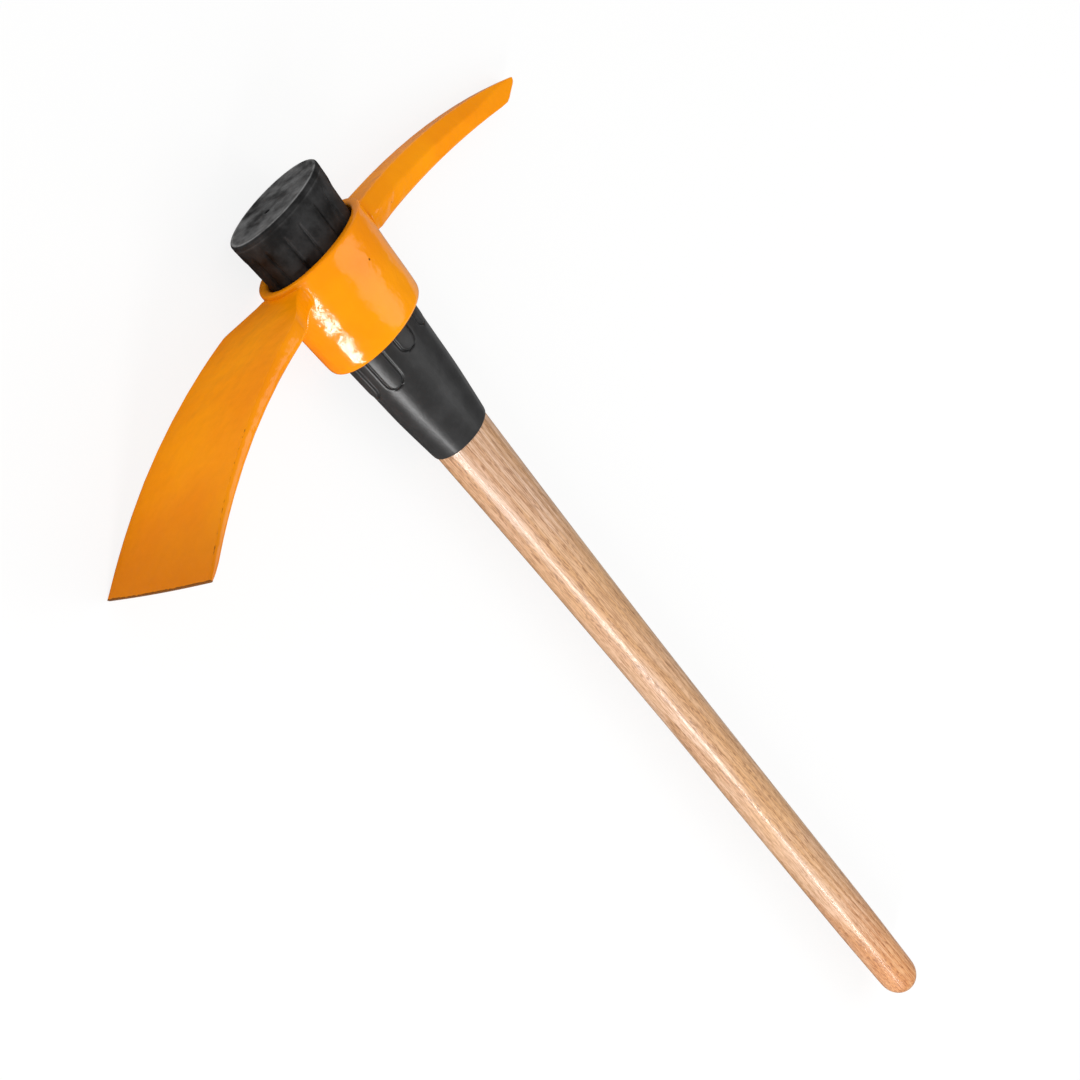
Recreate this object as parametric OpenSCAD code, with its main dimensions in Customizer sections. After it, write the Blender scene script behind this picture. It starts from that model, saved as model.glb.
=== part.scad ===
// Pick axe with a drop-on forged head, lying on its side.
// The handle runs along X, with the head at the high end.
// The adze reaches along +Y, the pick along -Y, and Z is across the adze's cutting edge.
// The origin is on the handle's axis, where the straight grip begins above the rounded butt.

/* [Handle] */
// Length of the whole tool, from the butt to the face of the boot
tool_l = 900; // [800:1:1000]
// Diameter of the straight round grip
grip_d = 36; // [34:0.5:42]
// Length of the straight round grip
grip_l = 310; // [300:1:500]
// Length of the rounded butt
butt_l = 18; // [8:0.5:24]
// Diameter of the flat that is left at the end of the butt
butt_flat = 8; // [4:0.5:20]
// Depth of the oval wood where it enters the boot
haft_deep = 49.5; // [46:0.5:52]
// Width of the oval wood where it enters the boot
haft_wide = 38; // [36:0.5:40]
// Taper of the tenon on each side, over its whole length
tenon_taper = 1.5; // [0.5:0.1:4]

/* [Boot] */
// Length of the moulded boot
boot_l = 199; // [190:1:220]
// Depth of the boot's oval face
cap_deep = 87; // [84:0.5:96]
// Width of the boot's oval face
cap_wide = 54; // [52:0.5:62]
// Depth of the boot at its waist, where the taper steepens
waist_deep = 62; // [58:0.5:66]
// Width of the boot at its waist
waist_wide = 44.6; // [44:0.2:48]
// Distance from the boot's mouth to its waist
waist_l = 37; // [25:1:45]
// Wall of the boot at its mouth
lip_t = 1.2; // [0.8:0.1:2]
// Thickness of the boot's closed end, above the tenon
cap_t = 13; // [8:0.5:40]
// Clearance between the tenon and the boot
tenon_fit = 0.15; // [0.1:0.05:0.3]
// Round at the edge of the boot's face
cap_r = 3; // [1:0.5:5]
// Height of the plain band below the boot's face
band_l = 12; // [8:0.5:20]
// Number of wedge tongues round the boot
tongue_n = 8; // [6:1:10]
// Height of a wedge tongue
tongue_h = 1; // [0.6:0.1:1.5]
// Distance from the boot's face to the round end of the long tongues
tongue_l = 134; // [120:1:150]
// How much sooner the tongues on the broad sides end
tongue_short = 13; // [10:1:20]
// Length of the round end of a tongue
tongue_end = 6; // [3:0.5:8]
// Lean of the tongue's sides, as an angle round the boot
tongue_lean = 0.6; // [0.3:0.1:1.2]

/* [Eye] */
// Distance from the boot's face down to the rim of the eye
eye_drop = 35; // [25:1:45]
// Length of the eye
eye_l = 71; // [60:1:80]
// Clearance between the wedge tongues and the eye
eye_fit = 0.35; // [0.3:0.05:0.6]
// Depth of the collar at its rim
rim_deep = 96; // [95:0.5:112]
// Width of the collar at its rim
rim_wide = 69; // [66:0.5:78]
// Depth of the collar at its lower end
foot_deep = 88.5; // [85:0.5:98]
// Width of the collar at its lower end
foot_wide = 64; // [61:0.5:70]
// Outer round at the collar's lower end
foot_r = 6; // [2:0.5:6.5]
// Outer round at the collar's rim
rim_r = 2.5; // [1:0.5:3.5]
// Lead-in round at the eye's rim
lead_r = 2.5; // [1:0.5:3.5]

/* [Adze] */
// Reach of the adze from the handle's axis
adze_reach = 248; // [220:1:280]
// Radius of the adze's curve
adze_curve = 440; // [380:5:600]
// Reach at which the adze begins to curve
adze_bend = 65; // [60:1:80]
// Step from the rim down to the adze's upper face
adze_step = 3.5; // [2:0.5:10]
// Distance inside the rim at which the adze begins to widen
neck_in = 9; // [4:0.5:12]
// Width of the adze at its neck
neck_w = 34; // [30:0.5:50]
// Width of the adze at its shoulder
shoulder_w = 75; // [66:0.5:80]
// Reach of the adze's shoulder
shoulder_reach = 80; // [74:1:100]
// Width of the cutting edge
edge_w = 92.5; // [85:0.5:115]
// How late the blade widens towards its edge: 1 is straight, 2 is a parabola
edge_flare = 1.3; // [1:0.1:2]
// Bow of the cutting edge
edge_bow = 0.8; // [0:0.1:6]
// Thickness of the adze at its neck
neck_t = 14.5; // [12:0.5:20]
// Thickness of the adze at its shoulder
shoulder_t = 12; // [9:0.5:13]
// Thickness of the adze where the ground bevel begins
blade_t = 3.8; // [3:0.1:7]
// Thickness of the cutting edge
edge_t = 1.4; // [0.8:0.1:2.5]
// Length of the ground bevel
bevel_l = 20; // [10:1:35]
// Break along the adze's long edges
adze_break = 2.6; // [0.4:0.1:3]

/* [Pick] */
// Reach of the pick from the handle's axis
pick_reach = 258; // [230:1:300]
// Radius of the pick's curve
pick_curve = 680; // [550:10:900]
// Reach at which the pick begins to curve
pick_bend = 12; // [0:1:30]
// Step from the rim down to the pick's upper face
pick_step = 5.4; // [2:0.1:10]
// Height of the pick at its root
root_h = 22.5; // [20:0.5:30]
// Height of the pick at its point
point_h = 14; // [10:0.5:18]
// How late the pick thins towards its point: 1 is straight, 2 is a parabola
pick_swell = 2.6; // [1:0.1:4]
// Width of the pick's upper and lower flats at its root
root_flat = 19.5; // [14:0.5:26]
// Width of the pick's upper and lower flats at its point
point_flat = 5.5; // [4:0.5:14]
// How far the pick's sides stand out at its root
root_belly = 6.5; // [2:0.5:8]
// How far the pick's sides stand out at its point
point_belly = 3.5; // [1:0.5:5]
// Height of the edge along the pick's side, as a share of its height below the upper flat
belly_share = 0.45; // [0.3:0.05:0.6]
// Length of the flare where the pick leaves the collar
flare_l = 26; // [12:1:40]
// Spread of that flare on each side
flare_w = 1; // [0:0.5:8]
// Length of the blunt point
point_l = 7; // [4:0.5:16]
// Share of the pick's section that the blunt point loses
point_round = 0.35; // [0.1:0.05:0.8]

/* [Hidden] */
// Sides of the ovals, and steps along the curved lengths and the rounds
oval_n = 64;
swell_n = 10;
adze_n = 14;
pick_n = 10;
row_n = 10;
flare_n = 8;
arc_n = 12;
tip_n = 6;
round_n = 4;
// Points across half a tongue, and across the valley beside it
top_n = 2;
valley_n = 3;
// Overlap that lets a cut pass through a face
slack = 1;
// Step at which the swelling wood takes over from the turned grip
seam = 0.1;
// Share of a tongue's width at which its round end starts
tip_share = 0.2;
// Share of the blade's thickness that the break along its edges may take
break_share = 1 / 3;
// A tongue lies on a broad side when the sine of its angle passes this
broad_share = 0.7;
// Length of the tenon inside the boot
tenon_l = boot_l - cap_t;
// Stations along the handle's axis
face_x = tool_l - butt_l;
mouth_x = face_x - boot_l;
waist_x = mouth_x + waist_l;
band_x = face_x - band_l;
tongue_x = face_x - tongue_l;
rim_x = face_x - eye_drop;
foot_x = rim_x - eye_l;
// The tongues fill half of the way round the boot, and one edge lies on the Y axis
tongue_step = 360 / tongue_n;
tongue_half = tongue_step / 4;
tongue_first = 3 * tongue_half;
// Half sizes of the tapered oval at x: [depth, width], straight from the waist to the face
function taper(x, low, high, x0, x1) = low + (high - low) * (x - x0) / (x1 - x0);
function boot_half(x) = [
    taper(x, waist_deep / 2, cap_deep / 2 - tongue_h, waist_x, face_x),
    taper(x, waist_wide / 2, cap_wide / 2 - tongue_h, waist_x, face_x)
];
function grow(size, by) = [size[0] + by, size[1] + by];
function mouth_half() = grow([haft_deep / 2, haft_wide / 2], tenon_fit + lip_t);
function tenon_half(x) = grow([haft_deep / 2, haft_wide / 2],
    -tenon_taper * (x - mouth_x) / tenon_l);
function collar_half(x) = [
    taper(x, foot_deep / 2, rim_deep / 2, foot_x, rim_x),
    taper(x, foot_wide / 2, rim_wide / 2, foot_x, rim_x)
];
function eye_half(x) = grow(boot_half(x), tongue_h + eye_fit);
function smooth(t) = t <= 0 ? 0 : t >= 1 ? 1 : t * t * (3 - 2 * t);
function oval(x, size) = [
    for (i = [0 : oval_n - 1])
        [x, size[0] * cos(360 * i / oval_n), size[1] * sin(360 * i / oval_n)]
];

// A solid through a row of rings, each with its points in the same order
module loft(rings) {
    n = len(rings[0]);
    m = len(rings);
    last = (m - 1) * n;
    sides = [
        for (k = [0 : m - 2], i = [0 : n - 1])
            let (a = k * n + i, b = k * n + (i + 1) % n)
                each [[a, a + n, b], [a + n, b + n, b]]
    ];
    start = [
        for (i = [0 : n / 2 - 2])
            each [[i, i + 1, n - 1 - i], [i + 1, n - 2 - i, n - 1 - i]]
    ];
    end = [for (f = start) [last + f[2], last + f[1], last + f[0]]];
    polyhedron(points = [for (ring = rings) each ring], faces = concat(start, sides, end));
}

// Straight grip with its rounded butt, turned about the handle's axis
module grip() {
    dome = [
        for (i = [0 : arc_n])
            let (t = 90 * i / arc_n)
                [(butt_flat + (grip_d - butt_flat) * sin(t)) / 2, -butt_l * cos(t)]
    ];
    end_x = grip_l + slack;
    rotate([0, 90, 0])
        rotate_extrude($fn = oval_n)
            polygon(concat([[0, -butt_l]], dome, [[grip_d / 2, end_x], [0, end_x]]));
}

// The round grip swells to the oval that enters the boot, and the tenon runs on inside
module handle() {
    start_d = grip_d + 2 * seam;
    swell = [
        for (i = [0 : swell_n])
            let (t = i / swell_n, s = t * t)
                oval(taper(t, grip_l, mouth_x, 0, 1), [
                    taper(s, start_d / 2, haft_deep / 2, 0, 1),
                    taper(s, start_d / 2, haft_wide / 2, 0, 1)
                ])
    ];
    tenon_x = mouth_x + tenon_l;
    color("burlywood") {
        grip();
        loft(concat(swell, [oval(tenon_x, tenon_half(tenon_x))]));
    }
}

// Where tongue k ends, and its half angle and height at x
function tongue_angle(k) = tongue_first + k * tongue_step;
function tongue_tip(k) = tongue_x + (abs(sin(tongue_angle(k))) > broad_share ? tongue_short : 0);
function tongue_share(u) = u <= 0 ? 0 : u >= 1 ? 1 : sqrt(u * (2 - u));
function tongue_wide(k, x) = tongue_half *
    max(tip_share, tongue_share((x - tongue_tip(k) - tongue_h) / tongue_end));
function tongue_rise(k, x) = min(max(x - tongue_tip(k), 0), tongue_h);

// One step round the boot: [angle from the tongue's middle, 1 on the tongue or 0 beside it]
function boot_step(wide) =
    let (gap = tongue_step / 2 - wide, top = wide - tongue_lean)
        concat(
            [for (i = [valley_n : -1 : 0]) [-wide - gap * i / valley_n, 0]],
            [for (i = [-top_n : top_n]) [top * i / top_n, 1]],
            [for (i = [0 : valley_n - 1]) [wide + gap * i / valley_n, 0]]
        );

// Ring of the boot at x, where raised is 1 with the tongues standing up and 0 without them
function boot_ring(x, size, raised) = [
    for (k = [0 : tongue_n - 1], p = boot_step(tongue_wide(k, x)))
        let (angle = tongue_angle(k) + p[0], level = grow(size, p[1] * raised * tongue_rise(k, x)))
            [x, level[0] * cos(angle), level[1] * sin(angle)]
];

// Moulded boot: a tapered oval shell, closed at its face, with wedge tongues that fill the eye
module boot() {
    tips = [
        for (tip = [tongue_x, tongue_x + tongue_short], i = [-1 : tip_n])
            let (t = taper(i, asin(tip_share), 90, 0, tip_n))
                i < 0 ? tip : tip + tongue_h + tongue_end * (1 - cos(t))
    ];
    body = [for (x = concat([waist_x], tips, [band_x - tongue_h])) boot_ring(x, boot_half(x), 1)];
    band = boot_ring(band_x, grow(boot_half(band_x), tongue_h), 0);
    edge = [
        for (i = [0 : round_n])
            let (t = 90 * i / round_n)
                boot_ring(face_x - cap_r + cap_r * sin(t),
                    grow(boot_half(face_x - cap_r), tongue_h - cap_r * (1 - cos(t))), 0)
    ];
    bore_x = mouth_x + tenon_l + tenon_fit;
    color("#2b2b2b")
        difference() {
            loft(concat([boot_ring(mouth_x, mouth_half(), 0)], body, [band], edge));
            loft([
                oval(mouth_x - slack, grow(tenon_half(mouth_x - slack), tenon_fit)),
                oval(bore_x, grow(tenon_half(bore_x), tenon_fit))
            ]);
        }
}

// Collar of the head, rounded at both ends, with the tapered eye cut through it
module collar() {
    foot = [
        for (i = [0 : round_n])
            let (t = 90 * i / round_n, x = foot_x + foot_r * (1 - cos(t)))
                oval(x, grow(collar_half(x), -foot_r * (1 - sin(t))))
    ];
    rim = [
        for (i = [0 : round_n])
            let (t = 90 * i / round_n, x = rim_x - rim_r * (1 - sin(t)))
                oval(x, grow(collar_half(x), -rim_r * (1 - cos(t))))
    ];
    loft(concat(foot, rim));
}

module eye() {
    lead = [
        for (i = [0 : round_n])
            let (t = 90 * i / round_n, x = rim_x - lead_r * (1 - sin(t)))
                oval(x, grow(eye_half(x), lead_r * (1 - cos(t))))
    ];
    over = oval(rim_x + slack, grow(eye_half(rim_x), lead_r));
    loft(concat([oval(foot_x - slack, eye_half(foot_x - slack))], lead, [over]));
}

// Point on a curved arm: along the upper face by reach, then square to it by drop, across by z
function arm_point(top_x, bend, curve, reach, drop, z, way) =
    let (turn = reach <= bend ? 0 : asin((reach - bend) / curve))
        [top_x - curve * (1 - cos(turn)) - drop * cos(turn),
         way * (reach - drop * sin(turn)), z];

// Width and thickness of the adze at a reach
function adze_width(y) =
    let (neck_y = rim_deep / 2 - neck_in)
        y < shoulder_reach
            ? neck_w + (shoulder_w - neck_w) * smooth((y - neck_y) / (shoulder_reach - neck_y))
            : shoulder_w + (edge_w - shoulder_w)
                * pow((y - shoulder_reach) / (adze_reach - shoulder_reach), edge_flare);
function adze_thick(y) =
    let (root_y = rim_deep / 2, bevel_y = adze_reach - bevel_l)
        y < shoulder_reach
            ? neck_t + (shoulder_t - neck_t) * smooth((y - root_y) / (shoulder_reach - root_y))
            : y < bevel_y
                ? taper(y, shoulder_t, blade_t, shoulder_reach, bevel_y)
                : taper(y, blade_t, edge_t, bevel_y, adze_reach);

// One section of the adze: its lower row from -Z to +Z, then its upper row back
function adze_ring(y) =
    let (half = adze_width(y) / 2, thick = adze_thick(y), cut = min(adze_break, thick * break_share),
         bow = edge_bow * smooth((y - adze_reach + bevel_l) / bevel_l),
         row = [for (i = [0 : row_n]) -1 + 2 * i / row_n],
         top_x = rim_x - adze_step)
        concat(
            [arm_point(top_x, adze_bend, adze_curve, y, thick - cut, -half, 1)],
            [for (s = row) arm_point(top_x, adze_bend, adze_curve,
                y + bow * (1 - s * s), thick, s * (half - cut), 1)],
            [arm_point(top_x, adze_bend, adze_curve, y, thick - cut, half, 1)],
            [arm_point(top_x, adze_bend, adze_curve, y, cut, half, 1)],
            [for (s = row) arm_point(top_x, adze_bend, adze_curve,
                y + bow * (1 - s * s), 0, -s * (half - cut), 1)],
            [arm_point(top_x, adze_bend, adze_curve, y, cut, -half, 1)]
        );

module adze() {
    root = collar_half(foot_x)[0] - foot_r - slack;
    shoulder = [for (i = [0 : adze_n]) root + (shoulder_reach - root) * i / adze_n];
    bevel_y = adze_reach - edge_bow - bevel_l;
    blade = [for (i = [1 : adze_n]) shoulder_reach + (bevel_y - shoulder_reach) * i / adze_n];
    bevel = [for (i = [1 : round_n]) bevel_y + bevel_l * i / round_n];
    loft([for (y = concat(shoulder, blade, bevel)) adze_ring(y)]);
}

// One section of the pick: six sides, its lower flat first, and its upper flat kept up to the point
function pick_ring(y, shrink) =
    let (root_y = rim_deep / 2,
         keep = 1 - shrink,
         along = max(0, (y - root_y) / (pick_reach - root_y)),
         flare = flare_w * (1 - smooth((y - root_y) / flare_l)),
         low = (root_h + (point_h - root_h) * pow(along, pick_swell)) * keep,
         side = low * belly_share,
         flat = taper(y, root_flat, point_flat, root_y, pick_reach) / 2 + flare,
         belly = flat + taper(y, root_belly, point_belly, root_y, pick_reach) * keep,
         top_x = rim_x - pick_step)
        [for (p = [[low, flat * keep], [low, -flat * keep], [side, -belly],
                   [0, -flat], [0, flat], [side, belly]])
            arm_point(top_x, pick_bend, pick_curve, y, p[0], p[1], -1)];

module pick() {
    root = collar_half(foot_x)[0] - foot_r - slack;
    flare_y = rim_deep / 2 + flare_l;
    point_y = pick_reach - point_l;
    flare = [for (i = [0 : flare_n]) root + (flare_y - root) * i / flare_n];
    arm = [for (i = [1 : pick_n]) flare_y + (point_y - flare_y) * i / pick_n];
    point = [
        for (i = [1 : round_n])
            let (s = i / round_n)
                pick_ring(point_y + point_l * s, point_round * (1 - sqrt(1 - s * s)))
    ];
    loft(concat([for (y = concat(flare, arm)) pick_ring(y, 0)], point));
}

// Forged head in one piece: collar, adze and pick
module head() {
    color("orange")
        difference() {
            union() {
                collar();
                adze();
                pick();
            }
            eye();
        }
}

handle();
boot();
head();
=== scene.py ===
from math import asin, atan, cos, pi, radians, sin, sqrt, tau

import bmesh
import bpy
from mathutils import Matrix, Quaternion, Vector


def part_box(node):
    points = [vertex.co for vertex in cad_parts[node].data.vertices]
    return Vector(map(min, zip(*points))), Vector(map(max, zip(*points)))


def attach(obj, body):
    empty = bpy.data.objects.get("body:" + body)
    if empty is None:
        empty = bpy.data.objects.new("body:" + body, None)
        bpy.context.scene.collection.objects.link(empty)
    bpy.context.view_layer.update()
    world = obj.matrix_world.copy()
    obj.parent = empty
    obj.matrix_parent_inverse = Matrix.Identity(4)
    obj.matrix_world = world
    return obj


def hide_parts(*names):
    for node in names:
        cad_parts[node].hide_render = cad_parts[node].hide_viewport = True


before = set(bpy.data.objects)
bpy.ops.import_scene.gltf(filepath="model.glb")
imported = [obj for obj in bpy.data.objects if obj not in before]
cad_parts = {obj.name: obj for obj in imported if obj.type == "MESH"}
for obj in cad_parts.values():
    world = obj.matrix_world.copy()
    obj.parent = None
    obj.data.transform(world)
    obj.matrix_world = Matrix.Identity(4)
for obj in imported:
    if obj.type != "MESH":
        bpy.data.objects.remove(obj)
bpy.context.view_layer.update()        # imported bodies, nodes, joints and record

mm = 0.001               # pieces are modelled in millimetres and scaled once, when they are finished


def edgesOf(node):
    low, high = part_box(node)
    return low / mm, high / mm


# Stations along the handle that the pieces share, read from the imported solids
bootLow, bootHigh = edgesOf("boot")
headLow, headHigh = edgesOf("head")
buttX = edgesOf("handle")[0].x
mouthX, faceX = bootLow.x, bootHigh.x
footX, rimX = headLow.x, headHigh.x


# Value at x on the straight line from low at start to high at end
def taper(x, low, high, start=0.0, end=1.0):
    return low + (high - low) * (x - start) / (end - start)


# Soft step from 0 to 1
def ease(t):
    t = min(max(t, 0.0), 1.0)
    return t * t * (3 - 2 * t)


# Ovals are written as depth along Y and width along Z, and worked with as half of each
def halfOf(oval):
    return oval[0] / 2, oval[1] / 2


def grow(half, by):
    return half[0] + by, half[1] + by


def taperHalf(x, low, high, start=0.0, end=1.0):
    return taper(x, low[0], high[0], start, end), taper(x, low[1], high[1], start, end)


def ovalPoint(x, half, angle, widen=1.0):
    return x, half[0] * widen * cos(angle), half[1] * widen * sin(angle)


# A smoothed ring lies inside its cage, so the cage is this much wider
def cageWiden(sides):
    return 3 / (2 + cos(tau / sides))


# Rows of an oval tube: every vertex keeps its column and row, so later steps can find it
def ovalTube(bm, count, rows, place):
    column = bm.verts.layers.int.new("column")
    row = bm.verts.layers.int.new("row")
    ring = bmesh.ops.create_circle(bm, segments=count, radius=1.0)["verts"]
    for i, v in enumerate(ring):
        v[column] = i
    edges = list(bm.edges)
    first = edges
    for n in range(rows):
        if n:
            grown = bmesh.ops.extrude_edge_only(bm, edges=edges)["geom"]
            ring = [g for g in grown if isinstance(g, bmesh.types.BMVert)]
            inRing = set(ring)
            edges = [g for g in grown if isinstance(g, bmesh.types.BMEdge) and set(g.verts) <= inRing]
        for v in ring:
            v[row] = n
            v.co = place(n, v[column])
    return first, edges


def closeEnds(bm, loops):
    for loop in loops:
        bmesh.ops.contextual_create(bm, geom=loop)


# Edges round a patch of faces; the smoothing keeps them as sharp as their crease
def creaseBorder(faces, crease, sharp):
    inside = set(faces)
    for e in {e for f in faces for e in f.edges}:
        if not set(e.link_faces) <= inside:
            e[crease] = sharp


def meshObject(bm, name, material):
    mesh = bpy.data.meshes.new(name)
    bm.to_mesh(mesh)
    bm.free()
    mesh.materials.append(material)
    thing = bpy.data.objects.new(name, mesh)
    bpy.context.scene.collection.objects.link(thing)
    return thing


def finishPiece(bm, name, body, node, material, levels):
    bmesh.ops.scale(bm, vec=(mm, mm, mm), verts=bm.verts)
    bmesh.ops.recalc_face_normals(bm, faces=bm.faces)
    piece = meshObject(bm, name, material)
    piece.data.shade_smooth()
    smooth = piece.modifiers.new("smooth", "SUBSURF")
    smooth.levels = smooth.render_levels = levels
    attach(piece, body)
    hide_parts(node)
    print("piece", name, len(piece.data.vertices), "cage points")


# sRGB hex to linear, for every colour in the file
def hexColour(code):
    parts = [int(code[i:i + 2], 16) / 255 for i in (1, 3, 5)]
    return [p / 12.92 if p <= 0.04045 else ((p + 0.055) / 1.055) ** 2.4 for p in parts] + [1.0]


def grey(value):
    return value, value, value, 1.0


# Two stops of a ramp
def fade(span, first, last):
    return [(span[0], first), (span[1], last)]


# Noise and cells take their scale as repeats in a metre
def repeats(sizeMm):
    return 1000 / sizeMm


# One node with its settings, its links and, for a ramp, its stops. A Mix takes its share at 0, two numbers
# at 2 and 3 or two colours at 6 and 7, and gives a number at 0 or a colour at 2.
def addNode(tree, kind, inputs=None, stops=None, **settings):
    node = tree.nodes.new("ShaderNode" + kind)
    for name, value in settings.items():
        setattr(node, name, value)
    for name, value in (inputs or {}).items():
        if isinstance(value, bpy.types.NodeSocket):
            tree.links.new(value, node.inputs[name])
        else:
            node.inputs[name].default_value = value
    for n, (place, colour) in enumerate(stops or []):
        ramp = node.color_ramp.elements
        stop = ramp[n] if n < 2 else ramp.new(place)
        stop.position = place
        stop.color = colour
    return node


def newMaterial(name):
    material = bpy.data.materials.new(name)
    material.use_nodes = True
    tree = material.node_tree
    tree.nodes.clear()
    return material, tree


# Glossy orange enamel sprayed over a forging: the forge's dents show as slow waves in the reflections, the
# spray leaves a fine orange peel, and a few dark specks sit in the paint. All the shine is the clear coat's.
enamelSet = {
    # the darker paint towards the cutting edge is painted shade of the lower blade over thinner paint
    "colour": "#FE9C00", "deep": "#F68D00", "thinShade": "#CC6C00", "speck": "#6B3600", "bare": "#5E3A12",
    "roughness": 0.5, "shine": 0.0, "coat": 1.0, "coatRoughness": 0.16,
    "cloudMm": 60.0, "cloudSpan": (0.3, 0.62),
    "speckMm": 17.0, "speckSpan": (0.03, 0.055), "speckFrom": 0.72,
    "chipMm": 3.6, "chipSpan": (0.30, 0.42), "chipMost": 0.85,
    "dentMm": 12.0, "dentBump": 0.8, "dentDeepMm": 1.2,
    "peelMm": 2.6, "peelBump": 0.25, "peelDeepMm": 0.4,
}


def enamelMaterial():
    s = enamelSet
    material, tree = newMaterial("orangeEnamel")
    place = addNode(tree, "TexCoord").outputs["Object"]

    # clouds of thicker paint, with a speck in some of the cells
    cloud = addNode(tree, "TexNoise", {"Vector": place, "Scale": repeats(s["cloudMm"]), "Detail": 4.0})
    tone = addNode(tree, "ValToRGB", {"Fac": cloud.outputs["Fac"]},
                   stops=fade(s["cloudSpan"], hexColour(s["deep"]), hexColour(s["colour"])))
    speck = addNode(tree, "TexVoronoi", {"Vector": place, "Scale": repeats(s["speckMm"])})
    speckMask = addNode(tree, "ValToRGB", {"Fac": speck.outputs["Distance"]},
                        stops=fade(s["speckSpan"], grey(1.0), grey(0.0)))
    rare = addNode(tree, "Math", {0: speck.outputs["Color"], 1: s["speckFrom"]}, operation="GREATER_THAN")
    speckFac = addNode(tree, "Math", {0: speckMask.outputs["Color"], 1: rare.outputs[0]},
                       operation="MULTIPLY")
    spotted = addNode(tree, "Mix", {0: speckFac.outputs[0], 6: tone.outputs["Color"],
                                    7: hexColour(s["speck"])}, data_type="RGBA")

    # thinner and darker towards the cutting edge, a painted shade of the lower blade over thinner paint, and
    # chipped off where the wear is
    ground = addNode(tree, "Attribute", attribute_name="ground")
    thinShaded = addNode(tree, "Mix", {0: ground.outputs["Fac"], 6: spotted.outputs[2],
                                    7: hexColour(s["thinShade"])}, data_type="RGBA")
    wear = addNode(tree, "Attribute", attribute_name="wear")
    chip = addNode(tree, "TexNoise", {"Vector": place, "Scale": repeats(s["chipMm"]), "Detail": 4.0})
    wearFac = addNode(tree, "Math", {0: wear.outputs["Fac"], 1: chip.outputs["Fac"]}, operation="MULTIPLY")
    wearMask = addNode(tree, "ValToRGB", {"Fac": wearFac.outputs[0]},
                       stops=fade(s["chipSpan"], grey(0.0), grey(s["chipMost"])))
    worn = addNode(tree, "Mix", {0: wearMask.outputs["Color"], 6: thinShaded.outputs[2],
                                 7: hexColour(s["bare"])}, data_type="RGBA")

    dent = addNode(tree, "TexNoise", {"Vector": place, "Scale": repeats(s["dentMm"]), "Detail": 1.5})
    dented = addNode(tree, "Bump", {"Height": dent.outputs["Fac"], "Strength": s["dentBump"],
                                    "Distance": s["dentDeepMm"] * mm})
    peel = addNode(tree, "TexNoise", {"Vector": place, "Scale": repeats(s["peelMm"]), "Detail": 2.0})
    bumped = addNode(tree, "Bump", {"Height": peel.outputs["Fac"], "Strength": s["peelBump"],
                                    "Distance": s["peelDeepMm"] * mm, "Normal": dented.outputs["Normal"]})
    shader = addNode(tree, "BsdfPrincipled", {
        "Base Color": worn.outputs[2], "Roughness": s["roughness"], "Specular IOR Level": s["shine"],
        "Normal": bumped.outputs["Normal"], "Coat Weight": s["coat"],
        "Coat Roughness": s["coatRoughness"], "Coat Normal": bumped.outputs["Normal"]})
    addNode(tree, "OutputMaterial", {"Surface": shader.outputs["BSDF"]})
    return material


# Black polymer from a mould: dull skin with flow mottling, grey round the rim of the face as a painted
# highlight over rubbing and grey on the face as a painted sheen over rubbing, and smoother down the sleeve.
# The mould's grain is drawn coarser than a real one, so that it shows.
polymerSet = {
    # the grey is rubbing, and on the rim and face also painted highlight and painted sheen
    "colour": "#0A0A0B", "flow": "#232324", "scuffAndSheen": "#808080", "nick": "#767676",
    "roughness": 0.6, "polished": 0.33, "shine": 0.35, "ior": 1.49,
    "mottleMm": 15.0, "mottleRough": 0.62, "flowSpan": (0.42, 0.68), "waveBump": 0.35, "waveDeepMm": 0.8,
    "patchSpan": (0.35, 0.68), "patchLeast": 0.12, "even": 0.5,
    "nickMm": 8.0, "nickSpan": (0.04, 0.09), "nickFrom": 0.55,
    "grainMm": 1.3, "grainBump": 0.15, "grainDeepMm": 0.2,
}


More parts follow.
